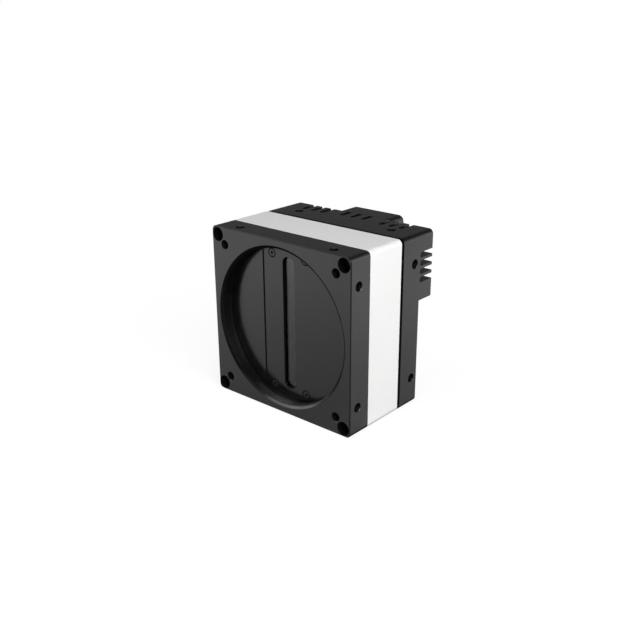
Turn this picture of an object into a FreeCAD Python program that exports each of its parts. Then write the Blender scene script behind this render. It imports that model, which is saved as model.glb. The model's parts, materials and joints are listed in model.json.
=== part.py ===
"""Line-scan machine vision camera with an M72 lens mount.

The origin is the centre of the lens mount's front face. Y runs back along the optical axis,
X to the right seen from the front and Z up. All sizes are in millimetres.
"""

import FreeCAD, Part
import math
import os

import Sketcher

V = FreeCAD.Vector

SIZES = {
    # housing: front plate, bright frame, gasket and rear body share one rounded square
    "face_margin": 4.0,
    "corner_radius": 2.2,
    "plate_depth": 12.3,
    "frame_depth": 21.5,
    "gasket_depth": 1.8,
    "gasket_inset": 1.2,
    "rear_depth": 12.25,
    "edge_chamfer": 0.4,
    "back_chamfer": 0.2,
    "frame_wall": 5.0,
    "frame_inner_radius": 6.0,
    "rear_wall": 7.5,
    "rear_inner_radius": 5.0,
    "panel_thickness": 3.5,
    # finned block on the back of the rear body
    "fin_block_depth": 9.45,
    "fin_block_height": 30.7,
    "fin_gap": 2.5,
    "fin_gap_radius": 1.1,
    "fin_root": 0.1,
    "side_fin_pitch": 3.78,
    "side_fin_drop": 0.15,
    "side_fin_length": 10.0,
    "top_fin_pitch": 5.5,
    "middle_fin_pitch": 6.2,
    "top_fin_length": 7.0,
    "fin_group_pitch": 22.85,
    "middle_group_shift": -0.5,
    "middle_group_setback": 2.2,
    # boss for the network jack
    "boss_width": 30.4,
    "boss_height": 27.0,
    "boss_depth": 12.2,
    "boss_shift": 1.1,
    "boss_radius": 3.0,
    "boss_edge_radius": 2.0,
    # M72 lens mount, bored into the front plate
    "mount_diameter": 72.0,
    "mount_mouth": 1.0,
    "mount_mouth_depth": 0.75,
    "mount_thread_length": 4.25,
    "mount_relief": 0.6,
    "bore_depth": 6.2,
    # slotted cover over the sensor
    "cover_step": 0.5,
    "cover_thickness": 1.2,
    "cover_width": 29.4,
    "cover_clearance": 0.2,
    "slot_width": 6.9,
    "slot_end_margin": 5.0,
    "slot_radius": 3.2,
    "cover_screw_across": 9.6,
    "cover_screw_inset": 4.7,
    # mounting holes
    "mounting_bore": 4.0,
    "mounting_mouth": 4.4,
    "mounting_depth": 6.0,
    "front_hole_inset": 7.9,
    "side_hole_inset": 13.0,
    "front_hole_setback": 5.0,
    "rear_hole_setback": 8.3,
    # M3 cap screws that hold the housing together from the front
    "housing_screw_inset": 3.7,
    "housing_screw_size": 3.0,
    "housing_head_diameter": 5.5,
    "housing_head_height": 3.0,
    "housing_hex": 2.5,
    "housing_hex_depth": 1.5,
    "housing_head_sink": 5.0,
    "housing_head_clearance": 0.5,
    "housing_screw_reach": 7.4,
    "screw_clearance": 0.04,
    "passage_clearance": 0.2,
    # M2 countersunk screws of the sensor cover
    "cover_screw_size": 2.0,
    "cover_head_diameter": 3.6,
    "cover_head_clearance": 0.35,
    "cover_hex": 1.3,
    "cover_hex_depth": 0.7,
    "cover_head_rim": 0.2,
    "cover_screw_reach": 1.9,
    "cross_length": 1.9,
    "cross_width": 0.45,
    "cross_depth": 0.7,
    # line image sensor
    "package_width": 12.0,
    "package_overrun": 2.0,
    "package_thickness": 1.6,
    "package_rim": 2.0,
    "package_well": 0.8,
    "glass_thickness": 0.7,
    "glass_rim": 0.5,
    "glass_gap": 0.1,
    "die_width": 3.0,
    "die_end_margin": 1.0,
    "die_thickness": 0.4,
    "opening_margin": 1.0,
    "seal_clearance": 0.1,
    # circuit boards and their posts
    "board_gap": 2.5,
    "sensor_board_gap": 0.5,
    "board_thickness": 1.6,
    "board_radius": 2.0,
    "post_inset": 4.0,
    "post_hex": 4.5,
    "post_screw_size": 2.5,
    "front_post_length": 10.1,
    "rear_board_setback": 0.4,
    "post_stud_reach": 2.3,
    "post_socket_depth": 5.0,
    "board_head_diameter": 4.7,
    "board_head_height": 1.7,
    # what the boards carry
    "link_width": 30.0,
    "link_depth": 6.0,
    "link_lip": 0.6,
    "link_inset": 10.0,
    "inductor_size": 10.0,
    "inductor_height": 4.8,
    "inductor_pitch": 15.0,
    "inductor_up": 10.0,
    "inductor_radius": 1.5,
    "chip_size": 19.0,
    "chip_height": 2.2,
    "chip_inset": 6.0,
    "chip_gap": 1.0,
    "thermal_pad_height": 1.0,
    "thermal_margin": 0.5,
    "memory_width": 9.0,
    "memory_length": 13.0,
    "memory_height": 1.2,
    "memory_pitch": 10.0,
    "memory_up": 6.0,
    # network jack
    "jack_width": 16.0,
    "jack_height": 13.5,
    "jack_sheet": 0.35,
    "jack_radius": 0.6,
    "jack_clearance": 0.2,
    "jack_setback": 0.2,
    "port_width": 11.9,
    "port_height": 7.0,
    "port_depth": 12.0,
    "port_lift": 1.1,
    "latch_width": 6.2,
    "latch_height": 1.6,
    "catch_width": 3.4,
    "catch_height": 1.2,
    "contact_width": 0.45,
    "contact_thickness": 0.3,
    "contact_length": 7.0,
    "contact_pitch": 1.02,
    "contact_slope": 15.0,
    "lock_spacing": 22.8,
    "lock_bore": 1.6,
    "lock_depth": 5.0,
    # round power and signal connectors on the lower panel
    "connector_spacing": 36.0,
    "connector_reach": 8.9,
    "connector_tail": 3.4,
    "connector_wall": 0.9,
    "flange_margin": 1.5,
    "flange_thickness": 1.5,
    "nut_margin": 1.6,
    "nut_thickness": 2.0,
    "insert_sink": 6.2,
    "pin_reach": 4.6,
    "pin_tail": 1.0,
    "power_barrel": 8.6,
    "power_pin": 1.0,
    "power_ring": 2.1,
    "signal_barrel": 11.0,
    "signal_pin": 0.7,
    "signal_ring": 3.2,
    "signal_inner_ring": 1.3,
    "key_width": 1.0,
    "key_height": 0.6,
    # status light
    "light_diameter": 3.0,
    "light_stand": 0.4,
    "light_gap": 0.3,
    "led_size": 1.6,
    "led_height": 0.7,
    "fit_clearance": 0.02,
}


class Size:
    """A length that knows its value and the sheet formula that gives it."""

    def __init__(self, value, text):
        self.value = value
        self.text = text

    def joined(self, sign, other, value):
        text = other.text if isinstance(other, Size) else repr(other)
        return Size(value, f"({self.text} {sign} {text})")

    def __add__(self, other):
        return self.joined("+", other, self.value + plain(other))

    def __sub__(self, other):
        return self.joined("-", other, self.value - plain(other))

    def __mul__(self, other):
        return self.joined("*", other, self.value * plain(other))

    def __truediv__(self, other):
        return self.joined("/", other, self.value / plain(other))

    def __neg__(self):
        return Size(-self.value, f"(-{self.text})")


def plain(number):
    return number.value if isinstance(number, Size) else number


def fill_sheet(doc):
    """Writes the driving dimensions to the sheet and returns them by name."""
    sheet = doc.addObject("Spreadsheet::Sheet", "Sizes")
    for row, (name, value) in enumerate(SIZES.items(), start=1):
        sheet.set(f"A{row}", name)
        sheet.set(f"B{row}", str(value))
        sheet.setAlias(f"B{row}", name)
    doc.recompute()
    return {name: Size(float(sheet.get(name)), f"Sizes.{name}") for name in SIZES}


doc = FreeCAD.newDocument("line_scan_camera")
size = fill_sheet(doc)
ZERO = Size(0.0, "0")

# Stations along the optical axis, from the front face back.
frame_front = size["plate_depth"]
gasket_front = frame_front + size["frame_depth"]
rear_front = gasket_front + size["gasket_depth"]
panel_back = rear_front + size["rear_depth"]
panel_inside = panel_back - size["panel_thickness"]
fin_back = panel_back + size["fin_block_depth"]
boss_back = fin_back + size["boss_depth"]
cover_front = size["bore_depth"] + size["cover_step"]
cover_back = cover_front + size["cover_thickness"]
glass_front = cover_back + size["glass_gap"]
package_front = glass_front + size["glass_thickness"]
sensor_board_front = package_front + size["package_thickness"]
sensor_board_back = sensor_board_front + size["board_thickness"]
power_board_front = sensor_board_back + size["front_post_length"]
power_board_back = power_board_front + size["board_thickness"]
processor_board_front = rear_front + size["rear_board_setback"]
rear_post_length = processor_board_front - power_board_back
processor_board_back = processor_board_front + size["board_thickness"]
chip_back = processor_board_back + size["chip_height"]
thermal_back = chip_back + size["thermal_pad_height"]

# Across the axis: the lens mount sets the face, and the face sets what sits in it.
mount_radius = size["mount_diameter"] / 2
relief_radius = mount_radius + size["mount_relief"]
face_size = size["mount_diameter"] + size["face_margin"] * 2
half_face = face_size / 2
frame_opening = face_size - size["frame_wall"] * 2
rear_opening = face_size - size["rear_wall"] * 2
board_size = rear_opening - size["board_gap"] * 2
sensor_board_height = frame_opening - size["sensor_board_gap"] * 2
slot_length = (mount_radius - size["slot_end_margin"]) * 2
package_length = slot_length + size["package_overrun"] * 2
die_length = slot_length - size["die_end_margin"] * 2
cover_screw_up = mount_radius - size["cover_screw_inset"]
housing_screw_place = half_face - size["housing_screw_inset"]
front_hole_place = half_face - size["front_hole_inset"]
side_hole_place = half_face - size["side_hole_inset"]
post_place = board_size / 2 - size["post_inset"]
chip_across = size["chip_size"] / 2 + size["chip_inset"] - board_size / 2
fin_bottom = half_face - size["fin_block_height"]
fin_middle = half_face - size["fin_block_height"] / 2
jack_up = fin_middle
chip_up = jack_up - size["jack_height"] / 2 - size["chip_gap"] - size["chip_size"] / 2
memory_across = board_size / 2 - size["chip_inset"] - size["memory_width"] / 2
link_up = size["link_inset"] - board_size / 2
connector_place = size["connector_spacing"] / 2
connector_up = (fin_bottom - half_face) / 2


# ---------------------------------------------------------------- drawing helpers


def new_body(name):
    body = doc.addObject("PartDesign::Body", name)
    body.Label = name
    return body


def tie(thing, path, length):
    """Binds one property of a document object to its sheet formula."""
    thing.setExpression(path, length.text)


def sketch_on(body, role, height=ZERO):
    """An empty sketch on a plane of the body's origin, moved along the axis by height."""
    sketch = body.newObject("Sketcher::SketchObject", f"{body.Name}_sketch")
    plane = next(part for part in body.Origin.OriginFeatures if part.Role == role)
    sketch.AttachmentSupport = [(plane, "")]
    sketch.MapMode = "FlatFace"
    # The XZ plane looks along -Y, so a height along +Y is negative in the sketch's own frame.
    tie(sketch, "AttachmentOffset.Base.z", -height if role == "XZ_Plane" else height)
    return sketch


def fix(sketch, kind, where, length):
    """Adds a dimension to the sketch and ties it to the sheet."""
    index = sketch.addConstraint(Sketcher.Constraint(kind, *where, length.value))
    sketch.setExpression(f"Constraints[{index}]", length.text)


def fix_point(sketch, geometry, end, across, up):
    """Ties a point of the sketch to its distances from the origin."""
    fix(sketch, "DistanceX", (-1, 1, geometry, end), across)
    fix(sketch, "DistanceY", (-1, 1, geometry, end), up)


def add_circle(sketch, diameter, across=ZERO, up=ZERO):
    circle = Part.Circle(V(across.value, up.value, 0), V(0, 0, 1), diameter.value / 2)
    index = sketch.addGeometry(circle, False)
    fix(sketch, "Diameter", (index,), diameter)
    fix_point(sketch, index, 3, across, up)


def add_outline(sketch, corners):
    """A closed outline of straight sides through corners, each (across, up)."""
    points = [V(across.value, up.value, 0) for across, up in corners]
    first = sketch.GeometryCount
    for start, end in zip(points, points[1:] + points[:1]):
        sketch.addGeometry(Part.LineSegment(start, end), False)
    for step, (across, up) in enumerate(corners):
        before = first + (step - 1) % len(corners)
        sketch.addConstraint(Sketcher.Constraint("Coincident", before, 2, first + step, 1))
        fix_point(sketch, first + step, 1, across, up)


def add_rounded_box(sketch, width, height, radius, across=ZERO, up=ZERO):
    """A rounded rectangle whose middle is at (across, up)."""
    reach_across = width / 2 - radius
    reach_up = height / 2 - radius
    first = sketch.GeometryCount
    turns = ((1, 1), (-1, 1), (-1, -1), (1, -1))
    centres = [
        V(across.value + side * reach_across.value, up.value + rise * reach_up.value, 0)
        for side, rise in turns
    ]
    for quarter, centre in enumerate(centres):
        circle = Part.Circle(centre, V(0, 0, 1), radius.value)
        start = quarter * math.pi / 2
        arc = Part.ArcOfCircle(circle, start, start + math.pi / 2)
        sketch.addGeometry(arc, False)
    for quarter in range(4):
        arc = sketch.Geometry[first + quarter]
        following = sketch.Geometry[first + (quarter + 1) % 4]
        sketch.addGeometry(Part.LineSegment(arc.EndPoint, following.StartPoint), False)
    for quarter in range(4):
        line = first + 4 + quarter
        following = first + (quarter + 1) % 4
        sketch.addConstraint(Sketcher.Constraint("Tangent", first + quarter, 2, line, 1))
        sketch.addConstraint(Sketcher.Constraint("Tangent", line, 2, following, 1))
        direction = "Vertical" if quarter % 2 else "Horizontal"
        sketch.addConstraint(Sketcher.Constraint(direction, line))
        if quarter:
            sketch.addConstraint(Sketcher.Constraint("Equal", first, first + quarter))
    fix(sketch, "Radius", (first,), radius)
    fix_point(sketch, first, 3, across + reach_across, up + reach_up)
    fix_point(sketch, first + 2, 3, across - reach_across, up - reach_up)


def add_strip(sketch, width, radius):
    """A strip across a circle: two upright sides joined by arcs of that radius."""
    half = width.value / 2
    rise = math.sqrt(radius.value**2 - half**2)
    lean = math.asin(half / radius.value)
    circle = Part.Circle(V(0, 0, 0), V(0, 0, 1), radius.value)
    first = sketch.GeometryCount
    sketch.addGeometry(Part.LineSegment(V(half, -rise, 0), V(half, rise, 0)), False)
    top = math.pi / 2
    sketch.addGeometry(Part.ArcOfCircle(circle, top - lean, top + lean), False)
    sketch.addGeometry(Part.LineSegment(V(-half, rise, 0), V(-half, -rise, 0)), False)
    sketch.addGeometry(Part.ArcOfCircle(circle, -top - lean, -top + lean), False)
    for step in range(4):
        following = first + (step + 1) % 4
        sketch.addConstraint(Sketcher.Constraint("Coincident", first + step, 2, following, 1))
    for line, side in ((first, width / 2), (first + 2, -(width / 2))):
        sketch.addConstraint(Sketcher.Constraint("Vertical", line))
        fix(sketch, "DistanceX", (-1, 1, line, 1), side)
    for arc in (first + 1, first + 3):
        sketch.addConstraint(Sketcher.Constraint("Coincident", arc, 3, -1, 1))
    sketch.addConstraint(Sketcher.Constraint("Equal", first + 1, first + 3))
    fix(sketch, "Radius", (first + 1,), radius)


# ---------------------------------------------------------------- feature helpers


def extrude(body, kind, sketch, length, reverse):
    """A Pad or Pocket of the sketch. A length of None cuts right through."""
    feature = body.newObject(f"PartDesign::{kind}", f"{body.Name}_{kind.lower()}")
    feature.Profile = sketch
    if length is None:
        feature.Type = "ThroughAll"
    else:
        tie(feature, "Length", length)
    feature.Reversed = reverse
    doc.recompute()
    return feature


def pad(body, sketch, length, towards_back=True):
    """Adds the sketch's profile, towards +Y or, where towards_back is false, towards -Y."""
    return extrude(body, "Pad", sketch, length, towards_back)


def pocket(body, sketch, length=None, reverse=False):
    """Cuts the sketch's profile against the sketch's normal, so towards +Y on an XZ plane."""
    before = body.Shape.Volume
    feature = extrude(body, "Pocket", sketch, length, reverse)
    if feature.Shape.Volume >= before:
        raise RuntimeError(f"{feature.Name} removes nothing")
    return feature


def drill(body, sketch, diameter, depth=None, reverse=False, cut=None, cut_size=None, cut_depth=None):
    """Holes at the sketch's circles. cut is None, Counterbore or Countersink."""
    before = body.Shape.Volume
    feature = body.newObject("PartDesign::Hole", f"{body.Name}_hole")
    feature.Profile = sketch
    doc.recompute()
    feature.DrillPoint = "Flat"
    feature.Reversed = reverse
    if depth is None:
        feature.DepthType = "ThroughAll"
    else:
        feature.DepthType = "Dimension"
        tie(feature, "Depth", depth)
    tie(feature, "Diameter", diameter)
    if cut:
        feature.HoleCutType = cut
        feature.HoleCutCustomValues = True
        tie(feature, "HoleCutDiameter", cut_size)
    if cut == "Counterbore":
        tie(feature, "HoleCutDepth", cut_depth)
    if cut == "Countersink":
        feature.HoleCutCountersinkAngle = 90
    doc.recompute()
    if feature.Shape.Volume >= before:
        raise RuntimeError(f"{feature.Name} removes nothing")
    return feature


def revolve(body, kind, corners):
    """A Revolution or Groove about Y of an outline given as (along Y, radius) corners."""
    sketch = sketch_on(body, "YZ_Plane")
    add_outline(sketch, corners)
    feature = body.newObject(f"PartDesign::{kind}", f"{body.Name}_{kind.lower()}")
    feature.Profile = sketch
    feature.ReferenceAxis = (sketch, ["H_Axis"])
    feature.Angle = 360
    doc.recompute()
    return feature


def edges_at(shape, station):
    """Names of the edges that lie wholly in the plane y = station."""
    names = []
    for index, edge in enumerate(shape.Edges, start=1):
        box = edge.BoundBox
        if abs(box.YMin - station.value) < 1e-4 and abs(box.YMax - station.value) < 1e-4:
            names.append(f"Edge{index}")
    return names


def trim_edges(body, kind, amount, stations):
    """A Chamfer or Fillet on every edge that lies in one of the planes y = station."""
    base = body.Tip
    names = [name for station in stations for name in edges_at(base.Shape, station)]
    feature = body.newObject(f"PartDesign::{kind}", f"{body.Name}_{kind.lower()}")
    feature.Base = (base, names)
    tie(feature, "Size" if kind == "Chamfer" else "Radius", amount)
    doc.recompute()
    return feature


def four_places(across, up):
    """The four mirrored places of a rectangular pattern."""
    return [(x, z) for x in (across, -across) for z in (up, -up)]


def sketch_circles(body, station, diameter, places):
    sketch = sketch_on(body, "XZ_Plane", station)
    for across, up in places:
        add_circle(sketch, diameter, across, up)
    return sketch


def mirrored_group(name, master):
    """The master and its three mirror images about the two upright planes, as one node."""
    across = doc.addObject("Part::Mirroring", f"{name}_across")
    across.Source = master
    across.Normal = V(1, 0, 0)
    members = [master, across]
    for source in (master, across):
        below = doc.addObject("Part::Mirroring", f"{source.Name}_below")
        below.Source = source
        below.Normal = V(0, 0, 1)
        members.append(below)
    return grouped(name, members)


def grouped(name, members):
    group = doc.addObject("Part::Compound", name)
    group.Label = name
    group.Links = members
    return group


def place(thing, across=ZERO, along=ZERO, up=ZERO):
    tie(thing, "Placement.Base.x", across)
    tie(thing, "Placement.Base.y", along)
    tie(thing, "Placement.Base.z", up)


def cylinder_along(name, diameter, length, across, along, up):
    """A cylinder whose axis runs back along Y from the given station."""
    rod = doc.addObject("Part::Cylinder", name)
    tie(rod, "Radius", diameter / 2)
    tie(rod, "Height", length)
    rod.Placement.Rotation = FreeCAD.Rotation(V(1, 0, 0), -90)
    place(rod, across, along, up)
    return rod


def box_at(name, width, depth, height, across, along, up):
    """A box centred on (across, up) that runs back along Y from the given station."""
    block = doc.addObject("Part::Box", name)
    tie(block, "Length", width)
    tie(block, "Width", depth)
    tie(block, "Height", height)
    place(block, across - width / 2, along, up - height / 2)
    return block


# ---------------------------------------------------------------- housing


def side_holes(body, setback):
    """Tapped mounting holes in all four sides, at one distance from the front face."""
    for role, reverse in (("YZ_Plane", False), ("YZ_Plane", True), ("XY_Plane", False), ("XY_Plane", True)):
        sketch = sketch_on(body, role, -half_face if reverse else half_face)
        for offset in (side_hole_place, -side_hole_place):
            spot = (setback, offset) if role == "YZ_Plane" else (offset, setback)
            add_circle(sketch, size["mounting_bore"], *spot)
        drill(
            body,
            sketch,
            size["mounting_bore"],
            size["mounting_depth"],
            reverse,
            "Countersink",
            size["mounting_mouth"],
        )


def rounded_pad(body, station, length, width, height, radius, across=ZERO, up=ZERO):
    sketch = sketch_on(body, "XZ_Plane", station)
    add_rounded_box(sketch, width, height, radius, across, up)
    return pad(body, sketch, length)


def lens_mount_plate():
    """Front plate with the lens mount bored into it and the sensor opening in its floor."""
    body = new_body("lens_mount_plate")
    face = face_size
    rounded_pad(body, ZERO, size["plate_depth"], face, face, size["corner_radius"])
    trim_edges(body, "Chamfer", size["edge_chamfer"], [ZERO])
    thread_end = size["mount_mouth_depth"] + size["mount_thread_length"]
    revolve(
        body,
        "Groove",
        [
            (ZERO, ZERO),
            (ZERO, mount_radius + size["mount_mouth"]),
            (size["mount_mouth_depth"], mount_radius),
            (thread_end, mount_radius),
            (thread_end, relief_radius),
            (size["bore_depth"], relief_radius),
            (size["bore_depth"], ZERO),
        ],
    )
    seat = sketch_on(body, "XZ_Plane", size["bore_depth"])
    add_strip(seat, size["cover_width"] + size["cover_clearance"] * 2, relief_radius)
    pocket(body, seat, cover_back - size["bore_depth"])

    opening = sketch_on(body, "XZ_Plane", cover_back)
    margin = size["opening_margin"] * 2
    add_rounded_box(
        opening, size["package_width"] + margin, package_length + margin, size["opening_margin"]
    )
    pocket(body, opening)

    nest = sketch_on(body, "XZ_Plane", size["plate_depth"])
    margin = size["sensor_board_gap"] * 2
    add_rounded_box(
        nest,
        board_size + margin,
        sensor_board_height + margin,
        size["board_radius"] + size["sensor_board_gap"],
    )
    pocket(body, nest, size["plate_depth"] - sensor_board_front, reverse=True)

    screw_bore = size["housing_screw_size"] + size["passage_clearance"] * 2
    corners = four_places(housing_screw_place, housing_screw_place)
    drill(
        body,
        sketch_circles(body, ZERO, screw_bore, corners),
        screw_bore,
        cut="Counterbore",
        cut_size=size["housing_head_diameter"] + size["housing_head_clearance"] * 2,
        cut_depth=size["housing_head_sink"] + size["housing_head_height"],
    )
    mounts = four_places(front_hole_place, front_hole_place)
    drill(
        body,
        sketch_circles(body, ZERO, size["mounting_bore"], mounts),
        size["mounting_bore"],
        size["mounting_depth"],
        cut="Countersink",
        cut_size=size["mounting_mouth"],
    )
    cover_holes = four_places(size["cover_screw_across"], cover_screw_up)
    drill(
        body,
        sketch_circles(body, cover_back, size["cover_screw_size"], cover_holes),
        size["cover_screw_size"],
        size["cover_screw_reach"] + size["screw_clearance"],
    )
    posts = four_places(post_place, post_place)
    drill(
        body,
        sketch_circles(body, sensor_board_front, size["post_screw_size"], posts),
        size["post_screw_size"],
        size["post_stud_reach"] + size["screw_clearance"],
        reverse=True,
    )
    side_holes(body, size["front_hole_setback"])
    return body


def ring_frame(name, station, depth, outer, outer_radius):
    """A rounded square tube with the frame's inner opening and four screw passages."""
    body = new_body(name)
    sketch = sketch_on(body, "XZ_Plane", station)
    add_rounded_box(sketch, outer, outer, outer_radius)
    add_rounded_box(sketch, frame_opening, frame_opening, size["frame_inner_radius"])
    pad(body, sketch, depth)
    bore = size["housing_screw_size"] + size["passage_clearance"] * 2
    corners = four_places(housing_screw_place, housing_screw_place)
    drill(body, sketch_circles(body, station, bore, corners), bore)
    return body


def middle_housing():
    return ring_frame(
        "middle_housing", frame_front, size["frame_depth"], face_size, size["corner_radius"]
    )


def housing_gasket():
    inset = size["gasket_inset"]
    return ring_frame(
        "housing_gasket",
        gasket_front,
        size["gasket_depth"],
        face_size - inset * 2,
        size["corner_radius"] - inset,
    )


def fin_gap_box(sketch, start_along, middle, upright):
    """One gap between fins, from its rounded root out past the open back."""
    length = size["fin_block_depth"] * 2
    along = start_along + length / 2
    if upright:
        add_rounded_box(sketch, size["fin_gap"], length, size["fin_gap_radius"], middle, along)
    else:
        add_rounded_box(sketch, length, size["fin_gap"], size["fin_gap_radius"], along, middle)


def cut_fins(body):
    """Fins on three sides of the raised block: three groups along the top, one on each flank."""
    root = panel_back + size["fin_root"]
    top = sketch_on(body, "XY_Plane", half_face)
    groups = (
        (-size["fin_group_pitch"], size["top_fin_pitch"], root),
        (size["middle_group_shift"], size["middle_fin_pitch"], root + size["middle_group_setback"]),
        (size["fin_group_pitch"], size["top_fin_pitch"], root),
    )
    for middle, pitch, start in groups:
        for step in (-1, 0, 1):
            fin_gap_box(top, start, middle + pitch * step, upright=True)
    pocket(body, top, size["top_fin_length"])
    flank = sketch_on(body, "YZ_Plane", half_face)
    for step in (-1.5, -0.5, 0.5, 1.5):
        level = fin_middle - size["side_fin_drop"] + size["side_fin_pitch"] * step
        fin_gap_box(flank, root, level, upright=False)
    cut = pocket(body, flank, size["side_fin_length"])
    mirror = body.newObject("PartDesign::Mirrored", "rear_housing_mirrored")
    mirror.Originals = [cut]
    plane = next(part for part in body.Origin.OriginFeatures if part.Role == "YZ_Plane")
    mirror.MirrorPlane = (plane, [""])
    body.Tip = mirror
    doc.recompute()


def rear_housing():
    """Rear body: connector panel below, finned block and jack boss above."""
    body = new_body("rear_housing")
    face = face_size
    depth = size["rear_depth"] + size["fin_block_depth"]
    rounded_pad(body, rear_front, depth, face, face, size["corner_radius"])
    lower = sketch_on(body, "XZ_Plane", fin_back)
    corners = [(-face, -face), (face, -face), (face, fin_bottom), (-face, fin_bottom)]
    add_outline(lower, corners)
    pocket(body, lower, size["fin_block_depth"], reverse=True)
    trim_edges(body, "Chamfer", size["back_chamfer"], [fin_back])
    cut_fins(body)

    boss_up = half_face - size["boss_height"] / 2
    rounded_pad(
        body,
        fin_back,
        size["boss_depth"],
        size["boss_width"],
        size["boss_height"],
        size["boss_radius"],
        size["boss_shift"],
        boss_up,
    )
    trim_edges(body, "Fillet", size["boss_edge_radius"], [boss_back])

    cavity = sketch_on(body, "XZ_Plane", rear_front)
    add_rounded_box(cavity, rear_opening, rear_opening, size["rear_inner_radius"])
    pocket(body, cavity, size["rear_depth"] - size["panel_thickness"])

    land = sketch_on(body, "XZ_Plane", panel_inside)
    land_size = size["chip_size"] + size["thermal_margin"] * 2
    add_rounded_box(
        land, land_size, land_size, size["board_radius"], chip_across, chip_up
    )
    pad(body, land, panel_inside - thermal_back, towards_back=False)

    jack = sketch_on(body, "XZ_Plane", boss_back)
    margin = size["jack_clearance"] * 2
    add_rounded_box(
        jack,
        size["jack_width"] + margin,
        size["jack_height"] + margin,
        size["jack_radius"] + size["jack_clearance"],
        size["boss_shift"],
        jack_up,
    )
    pocket(body, jack, reverse=True)

    half_lock = size["lock_spacing"] / 2
    locks = [(size["boss_shift"] + side, jack_up) for side in (half_lock, -half_lock)]
    drill(
        body,
        sketch_circles(body, boss_back, size["lock_bore"], locks),
        size["lock_bore"],
        size["lock_depth"],
        reverse=True,
    )
    for barrel, side in CONNECTOR_SITES:
        bore = barrel + size["fit_clearance"] * 2
        site = [(connector_place * side, connector_up)]
        drill(body, sketch_circles(body, panel_back, bore, site), bore, reverse=True)
    light = size["light_diameter"] + size["fit_clearance"] * 2
    spot = [(ZERO, connector_up)]
    drill(body, sketch_circles(body, panel_back, light, spot), light, reverse=True)

    corners = four_places(housing_screw_place, housing_screw_place)
    drill(
        body,
        sketch_circles(body, rear_front, size["housing_screw_size"], corners),
        size["housing_screw_size"],
        size["housing_screw_reach"] + size["screw_clearance"],
    )
    side_holes(body, rear_front + size["rear_hole_setback"])
    return body


def cap_screw_corners(head_radius, head_height, screw_radius, length):
    """Half outline of a screw with a cylindrical head, from its top face at Y 0 back."""
    end = head_height + length
    return [
        (ZERO, ZERO),
        (ZERO, head_radius),
        (head_height, head_radius),
        (head_height, screw_radius),
        (end, screw_radius),
        (end, ZERO),
    ]


def hex_socket(body, across_flats, depth):
    """A hexagon socket in the face at the body's own Y 0."""
    socket = body.newObject("PartDesign::SubtractivePrism", f"{body.Name}_socket")
    socket.Polygon = 6
    tie(socket, "Circumradius", across_flats / 2 / math.cos(math.pi / 6))
    tie(socket, "Height", depth)
    socket.Placement = FreeCAD.Placement(V(0, 0, 0), FreeCAD.Rotation(V(1, 0, 0), -90))
    doc.recompute()


def cross_recess(body, length, width, depth):
    """A cross recess in the face at the body's own Y 0."""
    for wide, tall in ((length, width), (width, length)):
        slot = body.newObject("PartDesign::SubtractiveBox", f"{body.Name}_slot")
        tie(slot, "Length", wide)
        tie(slot, "Width", depth)
        tie(slot, "Height", tall)
        place(slot, -(wide / 2), ZERO, -(tall / 2))
    doc.recompute()


def housing_screws():
    master = new_body("housing_screw")
    radius = size["housing_screw_size"] / 2 - size["screw_clearance"]
    head_back = size["housing_head_sink"] + size["housing_head_height"]
    length = rear_front + size["housing_screw_reach"] - head_back
    corners = cap_screw_corners(
        size["housing_head_diameter"] / 2, size["housing_head_height"], radius, length
    )
    revolve(master, "Revolution", corners)
    hex_socket(master, size["housing_hex"], size["housing_hex_depth"])
    place(master, housing_screw_place, size["housing_head_sink"], housing_screw_place)
    return mirrored_group("housing_screws", master)


# ---------------------------------------------------------------- sensor


def sensor_cover():
    """Slotted strip over the sensor, let into the floor of the lens mount."""
    body = new_body("sensor_cover")
    sketch = sketch_on(body, "XZ_Plane", cover_front)
    add_strip(sketch, size["cover_width"], relief_radius - size["cover_clearance"])
    pad(body, sketch, size["cover_thickness"])
    slot = sketch_on(body, "XZ_Plane", cover_front)
    add_rounded_box(slot, size["slot_width"], slot_length, size["slot_radius"])
    pocket(body, slot)
    bore = size["cover_screw_size"] + size["passage_clearance"]
    places = four_places(size["cover_screw_across"], cover_screw_up)
    drill(
        body,
        sketch_circles(body, cover_front, bore, places),
        bore,
        cut="Countersink",
        cut_size=size["cover_head_diameter"] + size["cover_head_clearance"] * 2,
    )
    return body


def cover_screws():
    """Countersunk screws, flush with the sensor cover."""
    master = new_body("cover_screw")
    head = size["cover_head_diameter"] / 2
    radius = size["cover_screw_size"] / 2 - size["screw_clearance"]
    cone_end = size["cover_head_rim"] + head - radius
    end = size["cover_thickness"] + size["cover_screw_reach"]
    revolve(
        master,
        "Revolution",
        [
            (ZERO, ZERO),
            (ZERO, head),
            (size["cover_head_rim"], head),
            (cone_end, radius),
            (end, radius),
            (end, ZERO),
        ],
    )
    hex_socket(master, size["cover_hex"], size["cover_hex_depth"])
    place(master, size["cover_screw_across"], cover_front, cover_screw_up)
    return mirrored_group("cover_screws", master)


def image_sensor():
    """Ceramic package with its well, the line die in the well and the glass lid over it."""
    package = new_body("image_sensor_package")
    width, length = size["package_width"], package_length
    rounded_pad(package, package_front, size["package_thickness"], width, length, size["glass_rim"])
    well = sketch_on(package, "XZ_Plane", package_front)
    rim = size["package_rim"] * 2
    add_rounded_box(well, width - rim, length - rim, size["glass_rim"])
    pocket(package, well, size["package_well"])

    glass = new_body("image_sensor_glass")
    rim = size["glass_rim"] * 2
    rounded_pad(
        glass, glass_front, size["glass_thickness"], width - rim, length - rim, size["glass_rim"]
    )
    die_front = package_front + size["package_well"] - size["die_thickness"]
    die = box_at(
        "image_sensor_die",
        size["die_width"],
        size["die_thickness"],
        die_length,
        ZERO,
        die_front,
        ZERO,
    )
    return [package, glass, die]


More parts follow.
